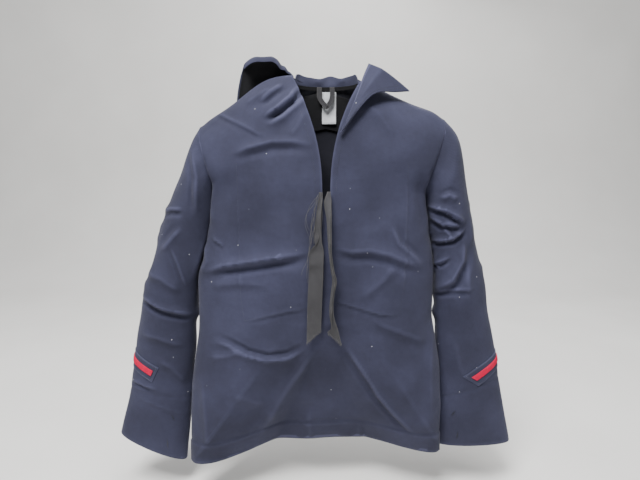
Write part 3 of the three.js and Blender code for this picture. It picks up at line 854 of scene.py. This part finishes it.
def sleeve_surface(name, t, angle):
    """Point and normal on the folded sleeve, by looking up its grid."""
    grid, out = sleeve_grids[name]
    row = np.clip(t, 0, 1) * SLEEVE_ROWS
    column = (angle / (2 * math.pi) * RING) % RING
    j, i = np.minimum(row.astype(int), SLEEVE_ROWS - 1), column.astype(int)
    fj, fi = (row - j)[..., None], (column - i)[..., None]
    k = (i + 1) % RING
    i = i % RING
    def look(a):
        return lerp(lerp(a[j, i], a[j, k], fi), lerp(a[j + 1, i], a[j + 1, k], fi), fj)
    return look(grid), look(out)


def band(name, half_angle, half_width, lift, puff=0.0):
    """A slanting band round the sleeve's outer edge: its points and their normals."""
    place, slant, cut, reach = STRIPE[name]
    across = np.linspace(-1, 1, 9)[None, :]
    angle = reach * np.linspace(half_angle, -half_angle, 47)[:, None] - cut * half_width * across
    t = place + 0.012 * angle + slant * np.sign(angle) * (1 - np.cos(angle))
    t = t + across * half_width / 620
    point, out = sleeve_surface(name, t, angle + 0 * across)
    return point + out * (CLOTH / 2 + lift + puff * (1 - across ** 2)[..., None]), out


for name, side in SIDE.items():
    body = f"{name}_sleeve"
    patch = cloth(f"{name}_stripe_backing", band(name, 1.54, 15, 0.7)[0], 1.1, flip=side > 0)
    dress(patch, navy, body, "navy_wool", f"{name}_stripe_patch")
    stripe = cloth(f"{name}_rank_stripe", band(name, 1.42, 5.2, 1.9, puff=0.5)[0], 1.2, flip=side > 0)
    dress(stripe, red, body, "red_felt", f"{name}_stripe")
    grid, out = band(name, 1.47, 13.2, 1.25)
    rows = [(grid[k], out[k]) for k in (np.s_[:, 0], np.s_[:, -1], 0, -1)]
    stitching(f"{name}_patch_stitches", rows, body, thread_pale, length=2.2, gap=1.0, radius=0.3)
    grid, out = band(name, 1.39, 4.4, 2.75)
    rows = [(grid[:, k], out[:, k]) for k in (0, -1)]
    stitching(f"{name}_stripe_stitches", rows, body, red, "red_felt", 1.6, 1.2, 0.18)

# --- cuff buttons and thread bars
BUTTON_ANGLE = math.pi * 1.28  # round the sleeve, on its back
BUTTON_SIDES = 40
BUTTON_PROFILE = [(0, 0.35), (2.2, 0.4), (3.2, 0.75), (4.6, 1.5), (6.2, 1.7), (7.0, 1.2), (7.0, 0.6),
                  (6.3, -0.4), (3.5, -1.0), (0, -1.1)]  # radius and height
for name in SIDE:
    body = f"{name}_sleeve"
    for place, t in (("upper", 0.925), ("lower", 0.968)):
        seat, out = sleeve_surface(name, np.array(t), np.array(BUTTON_ANGLE))
        z_axis = Vector(out).normalized()
        x_axis = Vector((0, 0, 1)).cross(z_axis).normalized()
        x_axis, y_axis, z_axis = (np.array(v) for v in (x_axis, z_axis.cross(x_axis), z_axis))
        turns = np.linspace(0, 2 * math.pi, BUTTON_SIDES, endpoint=False)
        vertices = [seat + out * 4.0 + x_axis * (r * math.cos(a)) + y_axis * (r * math.sin(a)) + z_axis * h
                    for r, h in BUTTON_PROFILE for a in turns]
        faces = quads(len(BUTTON_PROFILE), BUTTON_SIDES, wrap=True, flip=True)
        button = new_object(f"{name}_button_{place}", vertices, faces)
        button.modifiers.new("weld", "WELD").merge_threshold = 0.00002
        dress(applied(button), horn, body, "dark_button", f"{name}_cuff_button_{place}")
        shank = []
        for x in (-1.98, 1.98):
            ends = [seat + x_axis * x + out * height for height in (0.6, 4.4)]
            shank.append((ends, [y_axis] * 2))
        stitching(f"{name}_button_{place}_thread", shank, body, length=3.6, gap=0.1, radius=0.7)

# Worked bars near the vent on the front of each cuff.
for name in SIDE:
    rows = []
    for t, angle, turn in ((0.93, 2.15, 0.5), (0.978, 2.05, 1.4)):
        for k in range(-2, 3):
            s = np.linspace(-1, 1, 4)
            point, out = sleeve_surface(name, t + 0.006 * s * math.sin(turn) + 0.0016 * k,
                                        angle + 0.07 * s * math.cos(turn) + 0.012 * k)
            rows.append((point + out * (CLOTH / 2), out))
    stitching(f"{name}_cuff_bars", rows, f"{name}_sleeve", length=2.6, gap=0.3, radius=0.35)

# --- seams over the shoulders
for name, side in SIDE.items():
    x = np.linspace(NECK + 10, SHOULDER - 12, 40)[:, None]
    w = np.linspace(-1, 1, 7)[None, :]
    grid = np.stack([side * x + middle_x(ridge(x)) + 0 * w, 4.5 * w + 0 * x,
                     ridge(x) - 9 - 0.6 * w ** 2], -1)
    piece = cloth(f"{name}_shoulder_seam_tape", lifted(grid), 0.9, flip=side < 0)
    dress(piece, twill_tape, "coat", "black_tape", f"{name}_shoulder_tape")

# --- neck
def neck_ring(reach, low, high, inward, rows, wave=0.0, lean_back=0.0):
    angle = np.linspace(-reach, reach, 91)[None, :]
    up = np.linspace(0, 1, rows + 1)[:, None]
    ruffle = wave * (np.sin(angle * 6.3 + 0.7) + 0.5 * np.sin(angle * 10.7)) * smooth(up * 1.2)
    ruffle = ruffle * smooth((reach - np.abs(angle)) / 0.3)
    x = (NECK - inward + ruffle * 0.3) * np.sin(angle)
    y = (NECK_BACK - inward + ruffle + lean_back * up ** 2) * np.cos(angle)
    z = lerp(low, lerp(low + 4, high, smooth((reach - np.abs(angle)) / 0.3)) if wave else high, up)
    z = z + ruffle * 0.9 * up
    return np.stack([x + 0 * up, y + 0 * up, z + 0 * angle], -1)


piece = cloth("neck_seam_tape", neck_ring(1.35, -9, -1.5, 2.9, 6), 1.0, flip=True)
dress(piece, black, "coat", "black_tape", "neck_tape")
stand = neck_ring(1.36, -1.0, 17, 0.2, 16, wave=3.0, lean_back=5)
piece = cloth("collar_stand_cloth", stand, 2.2, flip=True)
dress(piece, navy, "coat", "navy_wool", "collar_stand")

# --- sailor collar
COLLAR_HALF, COLLAR_LENGTH, FOLD_TOP = 176, 262, 17


def flap_grid(lift, edge):
    """The flap lift mm above the back panel; edge is how far its rim keeps in."""
    across = np.linspace(-1, 1, 97)[None, :]
    down = np.linspace(0, 1, 81)[:, None]
    out = np.abs(across) * (lerp(COLLAR_HALF - 14, COLLAR_HALF, down) - edge * 0.6)
    top = FOLD_TOP - edge - 0.52 * np.maximum(0, out - NECK)
    forward = 20 * smooth((out - NECK) / 90) * (1 - smooth(down * 3))
    x = np.sign(across) * out
    y = 54 + lift + lerp(-3.2, 5, smooth(down * 4)) - forward
    z = lerp(top, FOLD_TOP - COLLAR_LENGTH + edge, down)
    hang = smooth(down * 1.6)
    wave = hang * (4.2 * np.sin(x / 34 + 0.6 - 0.7 * down) + 2.0 * np.sin(x / 17 + down * 3))
    curl = 3.5 * smooth((down - 0.9) / 0.1) + 2.5 * smooth((np.abs(across) - 0.93) / 0.07) * hang
    return np.stack([x + 0 * down, y + 0.5 * wave + curl + 1.5, z + 0 * across], -1)


flap_out, flap_in = flap_grid(2.2, 0), flap_grid(0.1, 4)
piece = cloth("collar_flap_cloth", flap_out, flip=True)
dress(piece, navy, "sailor_collar", "navy_wool", "collar_flap")
piece = cloth("collar_flap_lining_cloth", flap_in, 1.2, flip=True)
dress(piece, black, "sailor_collar", "black_lining", "collar_flap_lining")
flap_n = normals(flap_out, (0, 1, 0))
outer = flap_out + flap_n * (CLOTH / 2)
rows = []
for edge in (3, 6):
    inner = slice(edge, -edge)
    rows += [(outer[k], flap_n[k]) for k in ((inner, edge), (inner, -1 - edge), (-1 - edge, inner))]
stitching("collar_stitches", rows, "sailor_collar")

# Front end on the wearer's left, folded out like a lapel.
LAPEL_FOLD = [(24, -58, -98), (31, -56, -86), (40, -50, -66), (49, -43, -44), (58, -32, -20),
              (67, -18, 6), (77, -8, 30)]
LAPEL_EDGE = [(25, -60, -98), (37, -60, -83), (50, -57, -64), (67, -51, -43), (83, -44, -29),
              (100, -35, -23), (122, -23, -21), (150, -10, -17)]
fold_line, edge_line = (spline(p, 72) for p in (LAPEL_FOLD, LAPEL_EDGE))
across = np.linspace(0, 1, 31)[None, :]
along = np.linspace(0, 1, 73)[:, None]
lapel = lerp(fold_line[:, None], edge_line[:, None], across[..., None])
# The upper end breaks along a crease that runs down from the top corner.
crease = 0.30 + 0.16 * (1 - along)
bent = np.minimum(across / crease, 1) - np.maximum(0, across - crease) / (1 - crease)
belly = np.sin(math.pi * across)
lapel[..., 1] -= 2 + 12 * bent * smooth(along * 2.2 - 0.9) + 3 * belly * (1 - along)
lapel[..., 2] += 2.5 * belly * along
# It never sinks into the chest: there it keeps a small gap, evened out afterwards.
for j, i in np.ndindex(*lapel.shape[:2]):
    x, _, z = lapel[j, i]
    hit, _ = first_hit(surface["front"], x, z)
    if hit is not None:
        lapel[j, i, 1] = min(lapel[j, i, 1], hit[1] - 2.6)
for _ in range(3):
    inner = (lapel[:-2, 1:-1, 1] + lapel[2:, 1:-1, 1] + lapel[1:-1, :-2, 1] + lapel[1:-1, 2:, 1]) / 4
    lapel[1:-1, 1:-1, 1] = inner
# The edge is turned under, which makes a thick rounded rim.
tip = lapel[:, -1:]
outward = tip - lapel[:, -2:-1]
outward /= np.linalg.norm(outward, axis=-1, keepdims=True)
turn = np.linspace(0.35, math.pi * 1.15, 9)[None, :, None]
roll = outward * np.sin(turn) + (0, 1, 0) * (1 - np.cos(turn))
rim = tip + 2.1 * smooth(along * 8 + 0.15)[..., None] * roll
back_in = np.linspace(2.5, 10, 4)[None, :, None] * smooth(along * 6 + 0.1)[..., None]
under = rim[:, -1:] - outward * back_in
piece = cloth("left_collar_lapel", np.concatenate([lapel, rim, under], 1), 1.5)
dress(piece, navy, "coat", "navy_wool", "left_collar_front")
lapel_n = normals(lapel, (0, -1, 0))
rows = [(lapel[3:-2, k] + lapel_n[3:-2, k] * 0.8, lapel_n[3:-2, k]) for k in (25, 28)]
stitching("left_lapel_stitches", rows)

# Front end on the wearer's right, standing up behind the shoulder and curling forward.
def cowl(inward=0.0, trim=0.0):
    """The collar's end as a hollow roll, open to the front."""
    s = np.linspace(trim, 1 - trim, 77)[None, :]
    q = np.linspace(trim, 1 - trim, 61)[:, None]
    foot_x = lerp(-168, -62, s)
    foot = ridge(foot_x) + 14 * gauss((foot_x + 110) / 58)
    rim = 44 - 13 * np.maximum(0, 1 - s / 0.30) ** 2 - 31 * np.maximum(0, (s - 0.58) / 0.42) ** 1.5
    radius = np.minimum(15, (rim - foot) * 0.42)
    turn = np.maximum(0, q - 0.42) / 0.58 * 2.9
    middle = rim - radius
    x = foot_x + (20 * (1 - s) ** 1.5 + 1.5 * s) * smooth(q * 1.1)
    y = 17 - radius * (1 - np.cos(turn)) + 0 * s
    z = np.where(q < 0.42, lerp(foot, middle, q / 0.42), middle + radius * np.sin(turn))
    sag = (3.2 * gauss((s - 0.78) / 0.05) + 2.2 * gauss((s - 0.9) / 0.035)) * smooth(q * 2)
    wobble = 1.4 * np.sin(s * 8 + q * 2.5) + 1.0 * np.sin(s * 19 - q * 4)
    grid = np.stack([x + 0 * q, y + wobble + sag, z + 0.5 * wobble - sag], -1)
    toward = np.stack([x + 0 * q, 17 - radius + 0 * (s + q), middle + 0 * q], -1) - grid
    return grid + normals(grid, toward) * inward


piece = cloth("right_collar_cowl", cowl(), 1.6, flip=True)
dress(piece, navy, "coat", "navy_wool", "right_collar_front")
piece = cloth("right_collar_cowl_lining", cowl(1.6, 0.035), 1.0, flip=True)
dress(piece, black, "coat", "black_lining")

# --- label, loop and ties
u = np.linspace(-0.5, 0.5, 25)[None, :]
v = np.linspace(0, 1, 49)[:, None]
x = 6.5 + 27 * u + 0 * v
z = -11 - 60 * v + 0 * u
layers = [surface_of(yoke_lining), surface["back"]]


def inside_depth(x, z):
    """How far back the inside of the coat is, at a place in the front view."""
    hits = [first_hit(layer, x, z, -20)[0] for layer in layers]
    return min(hit[1] for hit in hits if hit is not None)


depth = np.array([[inside_depth(a, b) for a, b in zip(*r)] for r in zip(x, z)])
fit = np.polyval(np.polyfit(z[:, 0], depth.min(1), 3), z)
y = fit - np.maximum(0, fit - depth).max() - 1.1
y = y - 1.8 * smooth((v - 0.75) / 0.25) * (0.6 + u) - 0.4 * np.sin(v * 8 + u * 2)
label = cloth("sewn_label", np.stack([x, y, z], -1), 0.6)
dress(label, label_white, "coat", "white_label", "label")
rows = []
for k in (1, 46):
    path = np.stack([x[k], y[k] - 0.35, z[k]], -1)
    rows.append((path, np.tile([0, -1, 0], (len(path), 1))))
stitching("label_stitches", rows, "coat", thread_pale, "white_label", 1.6, 1.0, 0.16)


def ribbon(centre):
    """The loop's tape along a centre line, seen flat from the front."""
    along = np.gradient(centre, axis=0)
    across = np.cross(along, (0, 1, 0))
    across /= np.linalg.norm(across, axis=1, keepdims=True)
    n = np.cross(across, along)
    n /= np.linalg.norm(n, axis=1, keepdims=True)
    s = np.linspace(-0.5, 0.5, 9)[None, :, None]
    return centre[:, None] + across[:, None] * (s * 9) + n[:, None] * (0.5 * (1 - (2 * s) ** 2))


LOOP_Y = 32.4  # the label lies behind it
left_strand = spline([(-12, LOOP_Y, -3), (-12.4, LOOP_Y - 0.8, -14), (-11, LOOP_Y - 1.2, -24),
                      (-5, LOOP_Y - 1.3, -33), (2, LOOP_Y - 1.2, -40)], 40)
right_strand = spline([(12, LOOP_Y, -3), (12.4, LOOP_Y - 0.2, -14), (11, LOOP_Y - 0.2, -26),
                       (6, LOOP_Y - 0.1, -35), (-1, LOOP_Y, -41)], 40)
loop = welded("hanging_loop_tape", [ribbon(left_strand), ribbon(right_strand)], 1.0)
dress(loop, twill_tape, "hanging_loop", "black_tape", "hanging_loop")

TIE_Y = -69.5
TIE_ROWS, TIE_COLUMNS = 150, 25


def tie_grid(points, turns, doubled, slant, cup, waves=0.0):
    """A tape that hangs along the points, turned about its length, and doubled lengthwise where
    doubled is 1. Its end is cut aslant."""
    centre = spline(points, TIE_ROWS)
    turn, double = (spline([(a, 0, 0) for a in v], TIE_ROWS)[:, :1] for v in (turns, doubled))
    double = np.clip(double, 0, 1)
    across = np.concatenate([np.cos(turn), -np.sin(turn), 0 * turn], 1)[:, None]
    along = np.gradient(centre, axis=0)[:, None]
    n = np.cross(across, along)
    n /= np.linalg.norm(n, axis=-1, keepdims=True)
    s = np.linspace(-0.5, 0.5, TIE_COLUMNS)[None, :]
    down = np.linspace(0, 1, TIE_ROWS + 1)[:, None]
    width = TAPE_WIDTH * lerp(0.45, 1, smooth(down / 0.09))
    place = lerp(s, np.abs(s) - 0.25, double) * width
    depth = lerp(cup * (1 - 4 * s * s), 1.15 * np.sin(np.clip(s * 9, -1.57, 1.57)), double)
    depth = depth + waves * np.sin(down * 31 + s * 4) * (1 - smooth((down - 0.3) / 0.15))
    grid = centre[:, None] + across * place[..., None] + n * depth[..., None]
    grid[..., 2] += slant * s * smooth((down - 0.86) / 0.14)
    return grid


right_tie = tie_grid(
    [(-10, TIE_Y, -201), (-12, TIE_Y - 2.5, -228), (-14.5, TIE_Y - 4, -260), (-16, TIE_Y - 4.5, -288),
     (-17, TIE_Y - 3, -304), (-18, TIE_Y - 5, -326), (-18, TIE_Y - 3, -345), (-20, TIE_Y - 4, -388),
     (-22, TIE_Y - 4, -459)],
    [0.6, 1.0, 0.5, 0.3, 0.15, 0.1, 0.2, 0.1, 0.0], [1, 1, 1, 0.7, 0.05, 0, 0, 0, 0], 24, cup=1.6,
    waves=0.9)
left_tie = tie_grid(
    [(4.5, TIE_Y, -200), (2.5, TIE_Y - 3, -221), (4, TIE_Y - 6, -244), (5, TIE_Y - 7, -276),
     (6.5, TIE_Y - 8, -306), (10.5, TIE_Y - 8, -338), (14, TIE_Y - 8, -356), (10.5, TIE_Y - 8, -382),
     (8.5, TIE_Y - 8, -414), (13, TIE_Y - 6, -446), (15.5, TIE_Y - 5, -462)],
    [0.1, 0.35, 0.9, 1.15, 1.3, 1.25, 1.1, 1.25, 1.1, 0.6, 0.3], [1, 1, 1, 1, 1, 1, 1, 1, 0.9, 0.4, 0],
    -20, cup=1.2)
for name, grid in (("right", right_tie), ("left", left_tie)):
    piece = cloth(f"{name}_tie_tape", grid, 0.9)
    dress(piece, twill_tape, f"{name}_tie", "black_tape", f"{name}_tie")


def threads(name, curves, radius, mat, slot, body):
    """Loose threads, each a thin round tube with closed ends."""
    vertices, faces = [], []
    turns = [2 * math.pi * k / 6 for k in range(6)]
    for points in curves:
        path = spline(points, 6 * len(points))
        tangent = np.gradient(path, axis=0)
        tangent /= np.linalg.norm(tangent, axis=1, keepdims=True)
        a = np.cross(tangent, (0.3, 0.9, 0.2))
        a /= np.linalg.norm(a, axis=1, keepdims=True)
        b = np.cross(tangent, a)
        faces += tube_faces(len(path), len(turns), len(vertices))
        for p, u1, u2, f in zip(path, a, b, np.linspace(1, 0.7, len(path))):
            vertices += [p + radius * f * (math.cos(c) * u1 + math.sin(c) * u2) for c in turns]
    uv = np.asarray(vertices)[:, [0, 2]]
    dress(new_object(name, vertices, faces, uv), mat, body, slot)


rng = np.random.default_rng(4)
frays = {"right": [], "left": []}
for name, grid in (("right", right_tie), ("left", left_tie)):
    cut = grid[-1]
    for p in np.vstack([lerp(cut[:-1], cut[1:], f) for f in (0.0, 0.5)]):
        j = rng.normal(0, 1, 6)
        frays[name].append([p + (0, 0, 1.5), p + (j[0] * 0.4, j[1] * 0.4, -0.8),
                            p + (j[2] * 1.0, j[3] * 0.9, -2.6 - abs(j[4]) * 1.2)])
y = TIE_Y - 7
frays["right"] += [
    [(-15, y + 4, -206), (-22, y, -222), (-33, y, -236), (-37, y, -254), (-33, y, -270), (-28, y + 1, -280)],
    [(-14, y + 4, -204), (-20, y, -226), (-25, y, -246), (-27, y, -268), (-30, y, -284)],
    [(-20, y + 3, -240), (-26, y, -262), (-28, y, -290), (-33, y, -318), (-42, y, -338), (-43, y, -346)],
    [(-22, y + 3, -246), (-28, y, -276), (-31, y, -306), (-34, y, -336), (-35, y, -352)],
    [(-20, y + 3, -262), (-30, y, -300), (-33, y, -322), (-32, y, -346), (-33, y, -360)],
    [(-16, y + 3, -210), (-19, y, -232), (-22, y, -252), (-21, y, -270)],
    [(-13, y + 3, -208), (-18, y, -224), (-24, y, -240), (-26, y, -262), (-22, y, -278), (-24, y, -300)],
    [(-15, y + 3, -214), (-21, y, -236), (-20, y, -258), (-25, y, -276), (-27, y, -298)],
    [(-14, y + 3, -206), (-24, y, -218), (-31, y, -230), (-35, y, -246), (-32, y, -262), (-26, y, -270)],
    [(-17, y + 3, -220), (-22, y, -244), (-27, y, -256), (-25, y, -282), (-30, y, -306)],
]
for name, curves in frays.items():
    threads(f"{name}_tie_threads", curves, 0.30, twill_tape, "black_tape", f"{name}_tie")

# --- stage and light
def stage():
    """A pale floor that sweeps up behind the coat."""
    profile = [(-4.0, 0.0), (1.6, 0.0)]
    profile += [(1.6 + 0.9 * math.sin(a), 0.9 - 0.9 * math.cos(a)) for a in np.linspace(0.1, math.pi / 2, 14)]
    profile += [(2.5, 4.0)]
    vertices = [(x, y, z - 0.80) for y, z in profile for x in (-5, 5)]
    faces = [(2 * k, 2 * k + 1, 2 * k + 3, 2 * k + 2) for k in range(len(profile) - 1)]
    obj = new_object("floor", np.array(vertices) / MM, faces)
    def paint(tree, shader):
        place = node(tree, "ShaderNodeTexCoord")
        noise = node(tree, "ShaderNodeTexNoise", Scale=3.0, Detail=2.0)
        tree.links.new(place.outputs["Object"], noise.inputs["Vector"])
        greys = [(0.3, (0.70, 0.69, 0.67)), (0.7, (0.74, 0.73, 0.71))]
        tree.links.new(ramp(tree, noise.outputs["Fac"], greys), shader.inputs["Base Color"])
        shader.inputs["Roughness"].default_value = 0.95
    obj.data.materials.append(material("floor_paint", paint))


stage()


def area_light(name, location, size, power):
    """A lamp that faces the middle of the coat."""
    data = bpy.data.lights.new(name, "AREA")
    data.shape = "RECTANGLE"
    data.size, data.size_y = size
    data.energy = power
    light = bpy.data.objects.new(name, data)
    light.location = location
    toward = Vector((0, 0, -0.35)) - Vector(location)
    light.rotation_euler = toward.to_track_quat("-Z", "Y").to_euler()
    bpy.context.scene.collection.objects.link(light)


area_light("key", (-0.7, -1.5, 2.3), (1.2, 1.2), 185)
area_light("fill", (2.0, -2.2, 0.0), (1.8, 1.6), 9)
area_light("top", (0.2, -0.6, 2.5), (1.5, 1.2), 70)
area_light("back", (0.5, 1.9, 1.8), (2.0, 1.2), 45)
world = bpy.data.worlds.new("world")
world.use_nodes = True
world.node_tree.nodes["Background"].inputs["Color"].default_value = (0.80, 0.84, 0.90, 1)
world.node_tree.nodes["Background"].inputs["Strength"].default_value = 0.13
bpy.context.scene.world = world
